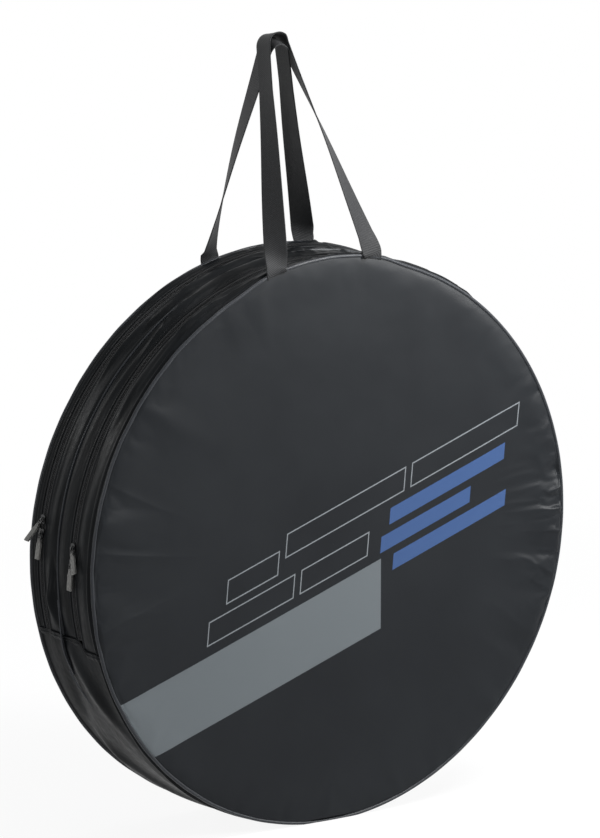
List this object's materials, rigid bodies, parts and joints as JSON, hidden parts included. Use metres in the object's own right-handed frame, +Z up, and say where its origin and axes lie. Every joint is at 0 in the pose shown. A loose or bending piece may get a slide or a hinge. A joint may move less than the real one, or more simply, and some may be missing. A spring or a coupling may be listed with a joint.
{
  "type": "bike wheel bag",
  "caption": "Round padded drum-shaped bag with two zipped wheel compartments, a padded divider and webbing carry handles.",
  "frame": {"origin": "on the floor under the drum's centre, on the flat that the rim stands on", "axes": "+Z up, -Y out of the front panel, X across the panel"},
  "size_m": [0.7722, 0.1488, 1.0373],
  "materials": {
    "panel_cloth": "coated polyester, soft sheen",
    "gusset_cloth": "nylon satin, glossy folds",
    "foam": "closed cell foam sheet",
    "lining": "plain woven lining",
    "hub_patch": "coated wear patch",
    "piping": "bound piping, satin",
    "zip_coil": "nylon coil",
    "zip_tape": "woven polyester tape",
    "slider_metal": "black painted zinc",
    "pull_tab": "grey ribbed ribbon",
    "webbing": "twill webbing"
  },
  "bodies": {
    "bag": {"lower_gusset": "gusset_cloth", "mid_gusset_front": "gusset_cloth", "mid_gusset_rear": "gusset_cloth", "centre_welt": "piping", "divider_foam": "foam", "divider_cover_front": "lining", "divider_cover_rear": "lining", "divider_hub_patch_front": "hub_patch", "divider_hub_patch_rear": "hub_patch", "front_panel_lower": "panel_cloth", "front_foam_lower": "foam", "front_lining_lower": "lining", "front_piping_lower": "piping", "front_inner_tape": "zip_tape", "front_inner_teeth": "zip_coil", "rear_panel_lower": "panel_cloth", "rear_foam_lower": "foam", "rear_lining_lower": "lining", "rear_piping_lower": "piping", "rear_inner_tape": "zip_tape", "rear_inner_teeth": "zip_coil"},
    "front_cover": {"front_panel_upper": "panel_cloth", "front_foam_upper": "foam", "front_lining_upper": "lining", "front_piping_upper": "piping", "front_cover_gusset": "gusset_cloth", "front_outer_tape": "zip_tape", "front_outer_teeth": "zip_coil", "front_hub_patch": "hub_patch"},
    "front_handle": {"front_handle_strap": "webbing"},
    "rear_cover": {"rear_panel_upper": "panel_cloth", "rear_foam_upper": "foam", "rear_lining_upper": "lining", "rear_piping_upper": "piping", "rear_cover_gusset": "gusset_cloth", "rear_outer_tape": "zip_tape", "rear_outer_teeth": "zip_coil", "rear_hub_patch": "hub_patch"},
    "rear_handle": {"rear_handle_strap": "webbing"},
    "front_upper_slider": {"front_upper_slider": "slider_metal"},
    "front_upper_pull": {"front_upper_puller": "slider_metal", "front_upper_tab": "pull_tab"},
    "front_lower_slider": {"front_lower_slider": "slider_metal"},
    "front_lower_pull": {"front_lower_puller": "slider_metal", "front_lower_tab": "pull_tab"},
    "rear_upper_slider": {"rear_upper_slider": "slider_metal"},
    "rear_upper_pull": {"rear_upper_puller": "slider_metal", "rear_upper_tab": "pull_tab"},
    "rear_lower_slider": {"rear_lower_slider": "slider_metal"},
    "rear_lower_pull": {"rear_lower_puller": "slider_metal", "rear_lower_tab": "pull_tab"}
  },
  "joints": [
    {"name": "front_cover_fold", "type": "hinge", "parent": "bag", "child": "front_cover", "pos_m": [0, -0.073, 0.28544], "axis": [1, 0, 0], "range_deg": [0, 110]},
    {"name": "front_handle_swing", "type": "hinge", "parent": "front_cover", "child": "front_handle", "pos_m": [-0.01728, -0.0736, 0.73853], "axis": [0.9989, 0, 0.0471], "range_deg": [0, 172]},
    {"name": "rear_cover_fold", "type": "hinge", "parent": "bag", "child": "rear_cover", "pos_m": [0, 0.073, 0.28544], "axis": [-1, 0, 0], "range_deg": [0, 110]},
    {"name": "rear_handle_swing", "type": "hinge", "parent": "rear_cover", "child": "rear_handle", "pos_m": [-0.01728, 0.0736, 0.73853], "axis": [-0.9989, 0, -0.0471], "range_deg": [0, 172]},
    {"name": "front_upper_run", "type": "hinge", "parent": "bag", "child": "front_upper_slider", "pos_m": [0, -0.028, 0.372], "axis": [0, 1, 0], "range_deg": [0, 186.6]},
    {"name": "front_upper_flip", "type": "hinge", "parent": "front_upper_slider", "child": "front_upper_pull", "pos_m": [-0.37523, -0.028, 0.40945], "axis": [-0.042, 0.9063, -0.4205], "range_deg": [0, 155]},
    {"name": "front_lower_run", "type": "hinge", "parent": "bag", "child": "front_lower_slider", "pos_m": [0, -0.028, 0.372], "axis": [0, 1, 0], "range_deg": [-14.8, 0]},
    {"name": "front_lower_flip", "type": "hinge", "parent": "front_lower_slider", "child": "front_lower_pull", "pos_m": [-0.37674, -0.028, 0.38845], "axis": [0, 1, 0], "range_deg": [0, 100]},
    {"name": "rear_upper_run", "type": "hinge", "parent": "bag", "child": "rear_upper_slider", "pos_m": [0, 0.046, 0.372], "axis": [0, 1, 0], "range_deg": [0, 183.1]},
    {"name": "rear_upper_flip", "type": "hinge", "parent": "rear_upper_slider", "child": "rear_upper_pull", "pos_m": [-0.37225, 0.046, 0.43229], "axis": [0, 1, 0], "range_deg": [-20, 130]},
    {"name": "rear_lower_run", "type": "hinge", "parent": "bag", "child": "rear_lower_slider", "pos_m": [0, 0.046, 0.372], "axis": [0, 1, 0], "range_deg": [-18.8, 0]},
    {"name": "rear_lower_flip", "type": "hinge", "parent": "rear_lower_slider", "child": "rear_lower_pull", "pos_m": [-0.37468, 0.046, 0.41469], "axis": [0, 1, 0], "range_deg": [0, 50]}
  ]
}
